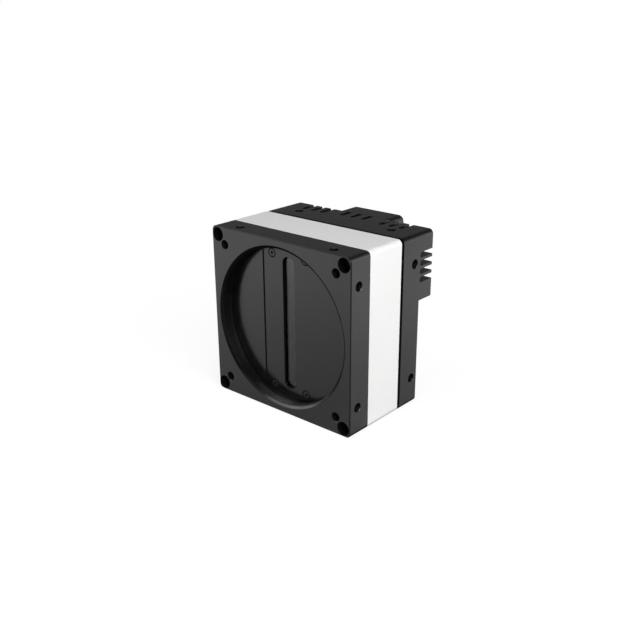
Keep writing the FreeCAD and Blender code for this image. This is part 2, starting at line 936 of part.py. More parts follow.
def sensor_seal():
    """Dust seal between the sensor's rim, the cover and the opening in the front plate."""
    body = new_body("sensor_seal")
    sketch = sketch_on(body, "XZ_Plane", cover_back)
    gap = size["seal_clearance"] * 2
    outer = size["opening_margin"] * 2 - gap
    inner = size["glass_rim"] * 2 - gap
    width, length = size["package_width"], package_length
    add_rounded_box(sketch, width + outer, length + outer, size["opening_margin"])
    add_rounded_box(sketch, width - inner, length - inner, size["glass_rim"])
    pad(body, sketch, package_front - cover_back)
    return body


# ---------------------------------------------------------------- boards


def circuit_board(name, station, height):
    body = new_body(name)
    rounded_pad(
        body, station, size["board_thickness"], board_size, height, size["board_radius"]
    )
    bore = size["post_screw_size"] + size["passage_clearance"]
    posts = four_places(post_place, post_place)
    drill(body, sketch_circles(body, station, bore, posts), bore)
    return body


def board_posts(name, station, length, stud_reach):
    """Hexagonal posts: a stud through the board in front, a tapped socket at the back."""
    master = new_body(f"{name}_master")
    prism = master.newObject("PartDesign::AdditivePrism", f"{name}_prism")
    prism.Polygon = 6
    tie(prism, "Circumradius", size["post_hex"] / 2 / math.cos(math.pi / 6))
    tie(prism, "Height", length)
    prism.Placement = FreeCAD.Placement(V(0, 0, 0), FreeCAD.Rotation(V(1, 0, 0), -90))
    doc.recompute()
    stud = size["board_thickness"] + stud_reach
    stud_sketch = sketch_on(master, "XZ_Plane", -stud)
    add_circle(stud_sketch, size["post_screw_size"] - size["screw_clearance"] * 2)
    pad(master, stud_sketch, stud)
    socket = sketch_on(master, "XZ_Plane", length)
    add_circle(socket, size["post_screw_size"])
    pocket(master, socket, size["post_socket_depth"], reverse=True)
    place(master, post_place, station, post_place)
    return mirrored_group(name, master)


def board_screws():
    master = new_body("board_screw")
    radius = size["post_screw_size"] / 2 - size["screw_clearance"]
    length = size["board_thickness"] + size["post_socket_depth"] - size["board_head_height"]
    corners = cap_screw_corners(
        size["board_head_diameter"] / 2, size["board_head_height"], radius, length
    )
    revolve(master, "Revolution", corners)
    cross_recess(master, size["cross_length"], size["cross_width"], size["cross_depth"])
    # The head faces back, so the screw is turned about the upright axis.
    master.Placement.Rotation = FreeCAD.Rotation(V(0, 0, 1), 180)
    head_top = processor_board_back + size["board_head_height"]
    place(master, post_place, head_top, post_place)
    return mirrored_group("board_screws", master)


def board_link(name, front, back):
    """Plug and socket that join two boards, meeting halfway."""
    half = (back - front) / 2
    lip = size["link_lip"] * 2
    socket = box_at(
        f"{name}_socket", size["link_width"], half, size["link_depth"], ZERO, front, link_up
    )
    plug = box_at(
        f"{name}_plug",
        size["link_width"] - lip,
        half,
        size["link_depth"] - lip,
        ZERO,
        front + half,
        link_up,
    )
    return grouped(name, [socket, plug])


def power_inductors():
    members = []
    for step in (-1, 0, 1):
        body = new_body(f"power_inductor_{step + 2}")
        side = size["inductor_size"]
        rounded_pad(
            body,
            power_board_back,
            size["inductor_height"],
            side,
            side,
            size["inductor_radius"],
            size["inductor_pitch"] * step,
            size["inductor_up"],
        )
        members.append(body)
    return grouped("power_inductors", members)


def board_chips():
    """Processor with its thermal pad, and two memory chips, on the rear board's back."""
    side = size["chip_size"]
    across, up = chip_across, chip_up
    chip = box_at("processor_chip", side, size["chip_height"], side, across, processor_board_back, up)
    thermal = box_at(
        "thermal_pad", side, size["thermal_pad_height"], side, across, chip_back, up
    )
    memories = [
        box_at(
            f"memory_chip_{step + 1}",
            size["memory_width"],
            size["memory_height"],
            size["memory_length"],
            memory_across - size["memory_pitch"] * step,
            processor_board_back,
            size["memory_up"],
        )
        for step in (0, 1)
    ]
    return [chip, thermal, grouped("memory_chips", memories)]


# ---------------------------------------------------------------- connectors


def network_jack():
    """Shielded modular jack: sheet shell, moulded insert with the stepped port, eight contacts."""
    across, up = size["boss_shift"], jack_up
    width, height = size["jack_width"], size["jack_height"]
    sheet = size["jack_sheet"] * 2
    front = boss_back - size["jack_setback"]
    length = front - processor_board_back

    shell = new_body("network_jack_shell")
    sketch = sketch_on(shell, "XZ_Plane", processor_board_back)
    add_rounded_box(sketch, width, height, size["jack_radius"], across, up)
    inner_radius = size["jack_radius"] - size["jack_sheet"]
    add_rounded_box(sketch, width - sheet, height - sheet, inner_radius, across, up)
    pad(shell, sketch, length)

    insert = new_body("network_jack_insert")
    gap = sheet + size["fit_clearance"] * 2
    rounded_pad(
        insert, processor_board_back, length, width - gap, height - gap, inner_radius, across, up
    )
    half_port = size["port_width"] / 2
    half_latch = size["latch_width"] / 2
    half_catch = size["catch_width"] / 2
    top = up + size["port_lift"] + size["port_height"] / 2
    floor = top - size["port_height"]
    latch = floor - size["latch_height"]
    catch = latch - size["catch_height"]
    port = sketch_on(insert, "XZ_Plane", front)
    left_side = [
        (across - half_port, top),
        (across - half_port, floor),
        (across - half_latch, floor),
        (across - half_latch, latch),
        (across - half_catch, latch),
        (across - half_catch, catch),
    ]
    right_side = [
        (across + half_catch, catch),
        (across + half_catch, latch),
        (across + half_latch, latch),
        (across + half_latch, floor),
        (across + half_port, floor),
        (across + half_port, top),
    ]
    add_outline(port, left_side + right_side)
    pocket(insert, port, size["port_depth"], reverse=True)

    contacts = []
    slope = FreeCAD.Rotation(V(1, 0, 0), -size["contact_slope"].value)
    for step in range(8):
        wire = doc.addObject("Part::Box", f"network_contact_{step + 1}")
        tie(wire, "Length", size["contact_width"])
        tie(wire, "Width", size["contact_length"])
        tie(wire, "Height", size["contact_thickness"])
        wire.Placement.Rotation = slope
        middle = across + size["contact_pitch"] * (step - 3.5)
        start = front - size["port_depth"]
        place(
            wire, middle - size["contact_width"] / 2, start, top - size["contact_thickness"] * 2
        )
        contacts.append(wire)
    return [shell, insert, grouped("network_jack_contacts", contacts)]


def round_connector(name, barrel, side, pin, rings):
    """Panel connector: flanged metal shell, moulded insert, pins in rings and the inner nut."""
    across = connector_place * side
    up = connector_up
    radius = barrel / 2
    bore = radius - size["connector_wall"]
    tail = panel_inside - size["connector_tail"]
    flange_back = panel_back + size["flange_thickness"]
    mouth = panel_back + size["connector_reach"]
    shell = new_body(f"{name}_shell")
    revolve(
        shell,
        "Revolution",
        [
            (tail, bore),
            (tail, radius),
            (panel_back, radius),
            (panel_back, radius + size["flange_margin"]),
            (flange_back, radius + size["flange_margin"]),
            (flange_back, radius),
            (mouth, radius),
            (mouth, bore),
        ],
    )
    place(shell, across, ZERO, up)

    insert = new_body(f"{name}_insert")
    face = mouth - size["insert_sink"]
    disc = sketch_on(insert, "XZ_Plane", tail)
    add_circle(disc, (bore - size["fit_clearance"]) * 2)
    pad(insert, disc, face - tail)
    key = sketch_on(insert, "XZ_Plane", face)
    half_key = size["key_width"] / 2
    key_top = bore - size["fit_clearance"] * 4
    key_foot = key_top - size["key_height"]
    add_outline(
        key, [(-half_key, key_foot), (half_key, key_foot), (half_key, key_top), (-half_key, key_top)]
    )
    pad(insert, key, size["pin_reach"])

    nut = new_body(f"{name}_nut")
    hexagon = nut.newObject("PartDesign::AdditivePrism", f"{name}_hexagon")
    hexagon.Polygon = 6
    tie(hexagon, "Circumradius", (radius + size["nut_margin"]) / math.cos(math.pi / 6))
    tie(hexagon, "Height", size["nut_thickness"])
    hexagon.Placement = FreeCAD.Placement(V(0, 0, 0), FreeCAD.Rotation(V(1, 0, 0), -90))
    doc.recompute()
    hole = sketch_on(nut, "XZ_Plane")
    add_circle(hole, (radius + size["fit_clearance"]) * 2)
    pocket(nut, hole)
    place(nut, across, panel_inside - size["nut_thickness"], up)

    pins = []
    for count, ring in rings:
        for step in range(count):
            turn = 2 * math.pi * (step + 0.5) / count
            pins.append(
                cylinder_along(
                    f"{name}_pin_{len(pins) + 1}",
                    pin,
                    size["pin_reach"],
                    across + ring * round(math.sin(turn), 6),
                    face,
                    up + ring * round(math.cos(turn), 6),
                )
            )
    place(insert, across, ZERO, up)
    return [shell, insert, nut, grouped(f"{name}_pins", pins)]


def status_light():
    """Light pipe in the panel and the lamp on the rear board in front of it."""
    up = connector_up
    start = processor_board_back + size["led_height"] + size["light_gap"]
    pipe = cylinder_along(
        "status_light_pipe",
        size["light_diameter"],
        panel_back + size["light_stand"] - start,
        ZERO,
        start,
        up,
    )
    lamp = box_at(
        "status_lamp",
        size["led_size"],
        size["led_height"],
        size["led_size"],
        ZERO,
        processor_board_back,
        up,
    )
    return [pipe, lamp]


# ---------------------------------------------------------------- the whole camera

POWER_SIDE = -1
SIGNAL_SIDE = 1
CONNECTOR_SITES = ((size["power_barrel"], POWER_SIDE), (size["signal_barrel"], SIGNAL_SIDE))

nodes = [
    lens_mount_plate(),
    middle_housing(),
    housing_gasket(),
    rear_housing(),
    housing_screws(),
    sensor_cover(),
    cover_screws(),
    *image_sensor(),
    sensor_seal(),
    circuit_board("sensor_board", sensor_board_front, sensor_board_height),
    circuit_board("power_board", power_board_front, board_size),
    circuit_board("processor_board", processor_board_front, board_size),
    board_posts("front_posts", sensor_board_back, size["front_post_length"], size["post_stud_reach"]),
    board_posts("rear_posts", power_board_back, rear_post_length, size["post_stud_reach"]),
    board_screws(),
    board_link("front_board_link", sensor_board_back, power_board_front),
    board_link("rear_board_link", power_board_back, processor_board_front),
    power_inductors(),
    *board_chips(),
    *network_jack(),
    *round_connector(
        "power_connector",
        size["power_barrel"],
        POWER_SIDE,
        size["power_pin"],
        ((5, size["power_ring"]), (1, ZERO)),
    ),
    *round_connector(
        "signal_connector",
        size["signal_barrel"],
        SIGNAL_SIDE,
        size["signal_pin"],
        ((9, size["signal_ring"]), (3, size["signal_inner_ring"])),
    ),
    *status_light(),
]
doc.recompute()

for thing in doc.Objects:
    if "Invalid" in thing.State or "Error" in thing.State:
        raise RuntimeError(f"{thing.Name} did not rebuild: {thing.State}")
os.makedirs("parts", exist_ok=True)
for node in nodes:
    if node.Shape.isNull() or not node.Shape.isValid() or not node.Shape.Solids:
        raise RuntimeError(f"{node.Label} has no valid solid")
    node.Shape.exportStep(os.path.join("parts", f"{node.Label}.step"))
    box = node.Shape.BoundBox
    print(
        f"{node.Label}: {len(node.Shape.Solids)} solids, {node.Shape.Volume:.1f} mm3, "
        f"x {box.XMin:.2f}..{box.XMax:.2f} y {box.YMin:.2f}..{box.YMax:.2f} "
        f"z {box.ZMin:.2f}..{box.ZMax:.2f}"
    )
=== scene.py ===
"""Looks of the line-scan camera: materials, thread detail, studio floor, lamps and camera."""

import json
import math

import bpy
from mathutils import Matrix, Vector


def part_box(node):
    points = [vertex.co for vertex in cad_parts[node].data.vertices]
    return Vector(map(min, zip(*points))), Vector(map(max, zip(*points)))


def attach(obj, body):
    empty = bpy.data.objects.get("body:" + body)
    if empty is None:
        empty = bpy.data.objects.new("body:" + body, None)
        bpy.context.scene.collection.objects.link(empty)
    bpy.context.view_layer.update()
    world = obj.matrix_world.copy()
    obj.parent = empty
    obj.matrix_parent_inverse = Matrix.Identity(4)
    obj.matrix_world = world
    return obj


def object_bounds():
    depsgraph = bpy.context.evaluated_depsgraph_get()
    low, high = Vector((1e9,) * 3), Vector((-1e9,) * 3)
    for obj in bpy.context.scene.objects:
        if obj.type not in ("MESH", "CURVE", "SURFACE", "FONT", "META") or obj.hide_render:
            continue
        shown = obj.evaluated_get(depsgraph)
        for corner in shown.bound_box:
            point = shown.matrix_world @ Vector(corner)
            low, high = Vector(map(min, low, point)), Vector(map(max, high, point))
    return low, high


MM = 0.001
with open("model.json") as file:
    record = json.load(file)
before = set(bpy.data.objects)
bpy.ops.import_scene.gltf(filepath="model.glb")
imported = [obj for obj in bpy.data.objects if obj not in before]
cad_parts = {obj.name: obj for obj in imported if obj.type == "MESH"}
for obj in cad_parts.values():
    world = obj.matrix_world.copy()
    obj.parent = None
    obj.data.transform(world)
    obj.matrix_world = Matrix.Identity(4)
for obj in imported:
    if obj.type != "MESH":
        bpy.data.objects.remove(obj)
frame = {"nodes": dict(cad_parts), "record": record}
cad_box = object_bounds()
nodes = frame["nodes"]

# Places and sizes of the tapped holes, in mm, as the solids have them.
HOLE_RADIUS = 2.0
FRONT_HOLE_INSET = 7.9
SIDE_HOLE_INSET = 13.0
FRONT_HOLE_SETBACK = 5.0
REAR_HOLE_SETBACK = 8.3

# Sizes of the finned block, the lens mount and the status light, in mm, as the solids have them.
FIN_BLOCK_HEIGHT = 30.7
FIN_BLOCK_DEPTH = 9.45
MOUNT_RADIUS = 36.0
MOUNT_MOUTH = 37.0
MOUTH_DEPTH = 0.75
LIGHT_STAND = 0.4
COVER_HEAD_RADIUS = 1.8

# Stations of the housing, in mm, read from the solids.
HALF_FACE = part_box("lens_mount_plate")[1].x / MM
PANEL_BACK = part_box("status_light_pipe")[1].y / MM - LIGHT_STAND
FIN_BOTTOM = HALF_FACE - FIN_BLOCK_HEIGHT
FIN_BACK = PANEL_BACK + FIN_BLOCK_DEPTH
COVER_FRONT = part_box("sensor_cover")[0].y / MM
COVER_SCREW_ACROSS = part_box("cover_screws")[1].x / MM - COVER_HEAD_RADIUS
COVER_SCREW_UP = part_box("cover_screws")[1].z / MM - COVER_HEAD_RADIUS

# The ways that edges and faces dulled by painted shade are turned.
UP = (0.0, 0.0, 1.0)
DOWN = (0.0, 0.0, -1.0)
FRONT_AND_RIGHT = (0.70, -0.71, 0.0)
FRONT_AND_UP = (0.0, -0.71, 0.70)

# Cosines with those ways between which a face comes to count as turned that way.
BEVEL_TURN = (0.86, 0.97)
FACE_TURN = (0.90, 0.98)
UNDER_TURN = (0.02, 0.20)
PAINTED_FOLD_TURN = (0.05, 0.4)

# Specular level of the black metal, which the rear body has less of.
SHEEN = 0.68
REAR_SHEEN = 0.52

# Painted shade: share of its sheen that a place deep in a hole keeps.
DEEP_SHEEN = 0.07

# Painted shade: share of their sheen that bevels turned to the front right and the flat underside
# keep.
# Folds that only lean down lose all of it.
EDGE_SHEEN = 0.25

# Painted shade: share of its sheen that a bevel turned to the front and up loses.
BROW_LOSS = 0.3

# Painted shade: share of its sheen that the top loses.
TOP_LOSS = 0.25

# Painted shade: shares of their sheen that the rounded corners of the rear body and the front plate
# lose.
REAR_FOLD_LOSS = 0.9
PLATE_FOLD_LOSS = 0.6

# Painted shade: most that the end of the lens mount's lead-in loses of its sheen, towards the
# right.
LEAD_IN_END_LOSS = 0.85

# Depths below the nearest outer side, in mm, between which a place comes to count as
# in a hole, on a rounded corner, at the root of a side fin or in a cut of the top, where painted
# shade goes.
HOLE_DEPTHS = (0.25, 1.2)
FOLD_DEPTHS = (0.05, 0.4)
ROOT_DEPTHS = (0.03, 0.25)
TOP_CUT_DEPTHS = (0.1, 0.6)

# The rounded corners also lie this near to the second side, and the cuts of the top
# this far in from the left or right side, in mm.
FOLD_INSETS = (1.2, 2.0)
TOP_CUT_INSETS = (5.0, 7.0)

# The painted shade at the fins' roots fades out this far behind the rear panel, in mm.
ROOT_ENDS = (2.2, 3.4)

# Distances from the lens mount's axis, in mm, over which painted shade darkens the lens thread and
# the lead-in towards the upper left, and over which it darkens the lead-in again to the right.
DARK_THREAD = (-14.0, -4.0)
DARK_LEAD_IN = (-6.0, 6.0)
LEAD_IN_END = (12.0, 26.0)

# The floor: what it takes from the lamps and its own light, to the camera and in reflections.
FLOOR_HALF_SIDE = 20.0
FLOOR_LIFT = 0.78
FLOOR_SHADE = 0.32
MIRRORED_LIFT = 0.03
MIRRORED_SHADE = 0.52
FLOOR_BOUNCE = 0.55

# Distances from the frame's origin, in m, at which the floor starts to whiten and is all white.
WHITE_FLOOR_START = 0.03
WHITE_FLOOR_END = 0.22

# The world: its level all round, and how high the white sweep reaches in reflections.
WORLD_LEVEL = 0.13
SWEEP_HEIGHT = 0.10

# The lamps: distance from the aim in m, then each one's name, direction, side in m and level.
LAMP_DISTANCE = 0.8
LAMPS = (
    ("key", (0.82, -0.30, 0.48), 0.7, 0.93),
    ("fill", (-0.61, -0.60, 0.50), 0.42, 0.22),
    ("left", (-0.90, -0.40, 0.22), 0.3, 0.08),
    ("rim", (0.64, 0.70, 0.28), 0.5, 0.12),
    ("upper", (-0.61, -0.36, 0.70), 0.4, 0.04),
    ("top", (0.20, -0.20, 1.0), 0.5, 0.16),
)

# The camera: angles in degrees, distances and lens in mm, and the nearest that it shows in m.
AZIMUTH = 40.87
ELEVATION = 21.16
ROLL = -0.265
DISTANCE = 391.57
SIDE_OFFSET = 1.72
RISE_OFFSET = 4.33
AIM = Vector((0.0, 30.0, 0.0))
LENS = 47.88
SENSOR_WIDTH = 36.0
NEAREST_SEEN = 0.01

# Steepest angle between two facets, in degrees, that is still shaded as one smooth surface.
SMOOTH_ANGLE = 28.0

# A thread ridge's foot lies this deep in the wall, in mm, and its crest lies between these
# shares of the pitch.
RIDGE_FOOT = 0.04
CREST_START = 0.42
CREST_END = 0.58


# ---------------------------------------------------------------- camera


def add_camera():
    """A view from the front right and above, set by its angles and its distance to the aim."""
    turn, tilt, roll = (math.radians(angle) for angle in (AZIMUTH, ELEVATION, ROLL))
    back = Vector(
        (math.sin(turn) * math.cos(tilt), -math.cos(turn) * math.cos(tilt), math.sin(tilt))
    )
    level = Vector((math.cos(turn), math.sin(turn), 0.0))
    upright = back.cross(level)
    right = level * math.cos(roll) + upright * math.sin(roll)
    up = upright * math.cos(roll) - level * math.sin(roll)
    place = AIM + back * DISTANCE - right * SIDE_OFFSET - up * RISE_OFFSET
    data = bpy.data.cameras.new("camera")
    data.lens = LENS
    data.sensor_width = SENSOR_WIDTH
    data.clip_start = NEAREST_SEEN
    camera = bpy.data.objects.new("camera", data)
    bpy.context.scene.collection.objects.link(camera)
    turned = Matrix((right, up, back)).transposed().to_4x4()
    camera.matrix_world = Matrix.Translation(place * MM) @ turned
    bpy.context.scene.camera = camera


# ---------------------------------------------------------------- node helpers


class Nodes:
    """A node tree under construction."""

    def __init__(self, tree):
        self.tree = tree

    def node(self, kind, **values):
        made = self.tree.nodes.new(kind)
        for name, value in values.items():
            setattr(made, name, value)
        return made

    def link(self, output, node_input):
        self.tree.links.new(output, node_input)

    def arithmetic(self, operation, *values):
        """The result of a math node; each value is another node's output or a number."""
        made = self.node("ShaderNodeMath", operation=operation)
        for node_input, value in zip(made.inputs, values):
            if isinstance(value, (int, float)):
                node_input.default_value = value
            else:
                self.link(value, node_input)
        return made.outputs[0]

    def product(self, first, *others):
        for other in others:
            first = self.arithmetic("MULTIPLY", first, other)
        return first

    def largest(self, first, *others):
        for other in others:
            first = self.arithmetic("MAXIMUM", first, other)
        return first

    def spread(self, value, low, high, start=0.35, end=0.65):
        """Maps a value from start to end onto low to high, and no further at either side.

        Start and end are the usual range of a noise, unless they are given.
        """
        ramp = self.node("ShaderNodeMapRange")
        ramp.inputs["From Min"].default_value = start
        ramp.inputs["From Max"].default_value = end
        ramp.inputs["To Min"].default_value = low
        ramp.inputs["To Max"].default_value = high
        self.link(value, ramp.inputs["Value"])
        return ramp.outputs["Result"]

    def above(self, value, start, end):
        """0 up to the start, 1 from the end on."""
        return self.spread(value, 0.0, 1.0, start, end)

    def below(self, value, start, end):
        """1 up to the start, 0 from the end on."""
        return self.spread(value, 1.0, 0.0, start, end)

    def rays(self, *kinds):
        """1 for rays of any of those kinds of the Light Path node, and 0 for others."""
        path = self.node("ShaderNodeLightPath")
        return self.largest(*(path.outputs[kind] for kind in kinds))

    def matt(self, grey):
        surface = self.node("ShaderNodeBsdfDiffuse")
        surface.inputs["Color"].default_value = (grey, grey, grey, 1.0)
        return surface.outputs[0]

    def glow(self, strength):
        light = self.node("ShaderNodeEmission")
        light.inputs["Strength"].default_value = strength
        return light.outputs[0]

    def total(self, first, second):
        """Two shaders added up."""
        added = self.node("ShaderNodeAddShader")
        self.link(first, added.inputs[0])
        self.link(second, added.inputs[1])
        return added.outputs[0]

    def blend(self, share, first, second):
        """Goes from the first shader to the second as the share goes from 0 to 1."""
        mix = self.node("ShaderNodeMixShader")
        self.link(share, mix.inputs["Fac"])
        self.link(first, mix.inputs[1])
        self.link(second, mix.inputs[2])
        return mix.outputs[0]


class Shading(Nodes):
    """A node material under construction around one Principled shader."""

    def __init__(self, name, base, roughness, metallic=0.0, ior=1.5):
        self.material = bpy.data.materials.new(name)
        self.material.use_nodes = True
        super().__init__(self.material.node_tree)
        self.shader = self.tree.nodes["Principled BSDF"]
        self.shader.inputs["Base Color"].default_value = (*base, 1.0)
        self.shader.inputs["Roughness"].default_value = roughness
        self.shader.inputs["Metallic"].default_value = metallic
        self.shader.inputs["IOR"].default_value = ior
        self.material.diffuse_color = (*base, 1.0)
        coordinates = self.node("ShaderNodeTexCoord")
        self.place = coordinates.outputs["Object"]
        self.normal = coordinates.outputs["Normal"]
        self.bumps = None

    def position_mm(self):
        """The x, y and z of the shaded point, in mm."""
        parts = self.node("ShaderNodeSeparateXYZ")
        self.link(self.place, parts.inputs[0])
        return [self.arithmetic("MULTIPLY", parts.outputs[axis], 1.0 / MM) for axis in range(3)]

    def facing(self, direction):
        """The cosine between the surface's normal and a direction of the object's frame."""
        dot = self.node("ShaderNodeVectorMath", operation="DOT_PRODUCT")
        self.link(self.normal, dot.inputs[0])
        dot.inputs[1].default_value = direction
        return dot.outputs["Value"]

    def distance(self, first, second):
        """The length of the line with those two legs."""
        squares = [self.arithmetic("MULTIPLY", leg, leg) for leg in (first, second)]
        return self.arithmetic("SQRT", self.arithmetic("ADD", *squares))

    def noise(self, size_mm, detail=2.0, stretch=(1.0, 1.0, 1.0)):
        """Noise whose features are about size_mm across, drawn out by the stretch factors."""
        mapping = self.node("ShaderNodeMapping")
        for axis in range(3):
            mapping.inputs["Scale"].default_value[axis] = 1.0 / (size_mm * MM * stretch[axis])
        self.link(self.place, mapping.inputs["Vector"])
        noise = self.node("ShaderNodeTexNoise")
        noise.inputs["Scale"].default_value = 1.0
        noise.inputs["Detail"].default_value = detail
        self.link(mapping.outputs["Vector"], noise.inputs["Vector"])
        return noise.outputs["Fac"]

    def vary_colour(self, share, first, second):
        """Colours the surface from the first to the second colour as the share goes from 0 to 1."""
        mix = self.node("ShaderNodeMix", data_type="RGBA")
        mix.inputs["A"].default_value = (*first, 1.0)
        mix.inputs["B"].default_value = (*second, 1.0)
        self.link(share, mix.inputs["Factor"])
        self.link(mix.outputs["Result"], self.shader.inputs["Base Color"])
        return mix

    def vary_roughness(self, noise, low, high):
        self.link(self.spread(noise, low, high), self.shader.inputs["Roughness"])

    def bump(self, height, depth_mm, strength=1.0):
        """Adds a height field on top of those already there."""
        bump = self.node("ShaderNodeBump")
        bump.inputs["Distance"].default_value = depth_mm * MM
        bump.inputs["Strength"].default_value = strength
        self.link(height, bump.inputs["Height"])
        if self.bumps:
            self.link(self.bumps, bump.inputs["Normal"])
        self.bumps = bump.outputs["Normal"]
        self.link(self.bumps, self.shader.inputs["Normal"])


# ---------------------------------------------------------------- the black housing


def anodised_skin(name, base=0.006, roughness=0.2, specular=SHEEN):
    """Bead-blasted aluminium, dyed black: a dark satin skin with a fine even grain."""
    made = Shading(name, (base, base, base * 1.05), roughness)
    made.shader.inputs["Specular IOR Level"].default_value = specular
    made.vary_colour(
        made.spread(made.noise(22.0, detail=3.0), 0.0, 1.0),
        (base, base, base * 1.06),
        (base * 1.35, base * 1.35, base * 1.4),
    )
    made.vary_roughness(made.noise(6.0, detail=4.0), roughness - 0.03, roughness + 0.04)
    made.bump(made.noise(0.16, detail=2.0), 0.004, 0.3)
    return made


def black_anodised(name, shade_masks=None, **skin):
    """The same skin with painted shade: its sheen is dulled on bevels, folds, the top and the
    underside.

    The optional function gives the shares by which deep or sheltered places lose their sheen, as
    painted shade.
    The socket keeps the plain level too, for an export that drops what is linked to it.
    """
    made = anodised_skin(name, **skin)
    level = made.shader.inputs["Specular IOR Level"]
    down = made.facing(DOWN)
    shade_losses = [
        made.spread(made.facing(FRONT_AND_RIGHT), 0.0, 1.0 - EDGE_SHEEN, *BEVEL_TURN),
        made.product(
            made.above(down, *UNDER_TURN), made.spread(down, 1.0, 1.0 - EDGE_SHEEN, *FACE_TURN)
        ),
        made.spread(made.facing(FRONT_AND_UP), 0.0, BROW_LOSS, *FACE_TURN),
        made.spread(made.facing(UP), 0.0, TOP_LOSS, *FACE_TURN),
    ]
    for share in shade_masks(made) if shade_masks else ():
        shade_losses.append(made.product(share, 1.0 - DEEP_SHEEN))
    sheen = made.arithmetic("SUBTRACT", 1.0, made.largest(*shade_losses))
    made.link(made.product(sheen, level.default_value), level)
    return made


def skin_depth(made, across, up):
    """How far the point lies below the nearest of the four outer sides, in mm."""
    sides = [made.arithmetic("ABSOLUTE", value) for value in (across, up)]
    return made.arithmetic("SUBTRACT", HALF_FACE, made.largest(*sides))


def corner_fold(made, across, up):
    """1 on the rounded corner between two outer sides and 0 on the flat sides."""
    sides = [made.arithmetic("ABSOLUTE", value) for value in (across, up)]
    inset = made.arithmetic("SUBTRACT", HALF_FACE, made.arithmetic("MINIMUM", *sides))
    return made.product(
        made.below(inset, *FOLD_INSETS), made.above(skin_depth(made, across, up), *FOLD_DEPTHS)
    )


def upper_left(made, across, up):
    """How far, in mm, the point lies towards the upper left of the lens mount's axis."""
    return made.arithmetic("SUBTRACT", made.product(up, 0.6), made.product(across, 0.8))


def mount_thread_shade(made):
    """Painted shade: the lens thread's flanks lose their sheen towards the upper left, so they
    catch light at the bottom and the lower right only.
    """
    across, _, up = made.position_mm()
    return [made.above(upper_left(made, across, up), *DARK_THREAD)]


def cover_painted_shade(made):
    """Painted shade in the countersinks and on the rings round the screw heads, on the slot's wall
    and on the edge of the sensor cover.
    """
    across, along, up = made.position_mm()
    hollows = made.above(along, COVER_FRONT + 0.03, COVER_FRONT + 0.12)
    offsets = []
    for value, site in ((across, COVER_SCREW_ACROSS), (up, COVER_SCREW_UP)):
        offsets.append(made.arithmetic("SUBTRACT", made.arithmetic("ABSOLUTE", value), site))
    reach = made.distance(*offsets)
    rim_shadows = made.product(
        made.above(reach, COVER_HEAD_RADIUS - 0.2, COVER_HEAD_RADIUS - 0.1),
        made.below(reach, COVER_HEAD_RADIUS + 0.35, COVER_HEAD_RADIUS + 0.45),
    )
    return [hollows, rim_shadows]


def plate_painted_shade(made):
    """Painted shade in the front plate's holes and on its corners, and on all but the bottom of the
    lens mount's lead-in.
    """
    across, along, up = made.position_mm()
    depth = made.arithmetic("MINIMUM", skin_depth(made, across, up), along)
    radius = made.distance(across, up)
    outside = made.above(radius, MOUNT_MOUTH + 0.1, MOUNT_MOUTH + 0.3)
    holes = made.product(made.above(depth, *HOLE_DEPTHS), outside)
    lead_in = made.product(
        made.largest(
            made.above(upper_left(made, across, up), *DARK_LEAD_IN),
            made.spread(across, 0.0, LEAD_IN_END_LOSS, *LEAD_IN_END),
        ),
        made.arithmetic("SUBTRACT", 1.0, outside),
        made.below(along, MOUTH_DEPTH + 0.05, MOUTH_DEPTH + 0.15),
        made.above(radius, MOUNT_RADIUS - 0.05, MOUNT_RADIUS),
    )
    return [holes, lead_in, made.product(corner_fold(made, across, up), PLATE_FOLD_LOSS)]


def rear_painted_shade(made):
    """Painted shade in the rear body's side holes, on its corners and in the cuts between its fins.
    """
    across, along, up = made.position_mm()
    depth = skin_depth(made, across, up)
    fold_shade = corner_fold(made, across, up)
    in_block = made.above(up, FIN_BOTTOM + 0.2, FIN_BOTTOM + 0.4)
    holes = made.product(
        made.above(depth, *HOLE_DEPTHS), made.below(along, PANEL_BACK - 0.3, PANEL_BACK - 0.1)
    )
    roots = made.product(
        made.below(made.arithmetic("SUBTRACT", along, PANEL_BACK), *ROOT_ENDS),
        in_block,
        made.above(depth, *ROOT_DEPTHS),
        made.arithmetic("SUBTRACT", 1.0, fold_shade),
    )
    below_top = made.arithmetic("SUBTRACT", HALF_FACE, up)
    inward = made.arithmetic("SUBTRACT", HALF_FACE, made.arithmetic("ABSOLUTE", across))
    top_cuts = made.product(
        made.above(below_top, *TOP_CUT_DEPTHS),
        made.above(inward, *TOP_CUT_INSETS),
        made.above(along, PANEL_BACK + 0.02, PANEL_BACK + 0.1),
        made.below(along, FIN_BACK - 0.3, FIN_BACK - 0.1),
        in_block,
    )
    return [holes, roots, top_cuts, made.product(fold_shade, REAR_FOLD_LOSS)]


# ---------------------------------------------------------------- the other materials


def light_paint():
    """Off-white powder coat with a faint orange peel, and painted shade that greys the rounded edge
    along the bottom.
    """
    made = Shading("light_paint", (0.86, 0.86, 0.855), 0.42)
    down = made.facing(DOWN)
    # Painted shade: faces that lean down along the bottom edge are greyed.
    fold_shade = made.product(made.above(down, *PAINTED_FOLD_TURN), made.below(down, *FACE_TURN))
    cloud = made.spread(made.noise(30.0), 0.0, 0.06)
    made.vary_colour(made.largest(cloud, fold_shade), (0.875, 0.875, 0.87), (0.5, 0.5, 0.5))
    made.vary_roughness(made.noise(4.0, detail=3.0), 0.38, 0.47)
    made.bump(made.noise(0.9, detail=3.0), 0.02, 0.25)
    return made


def rubber(name, grey):
    """Matt elastomer with a fine uneven skin."""
    made = Shading(name, (grey, grey, grey), 0.75)
    lighter = grey * 1.5
    made.vary_colour(
        made.spread(made.noise(5.0), 0.0, 1.0), (grey, grey, grey), (lighter, lighter, lighter)
    )
    made.bump(made.noise(0.12, detail=3.0), 0.01, 0.5)
    return made


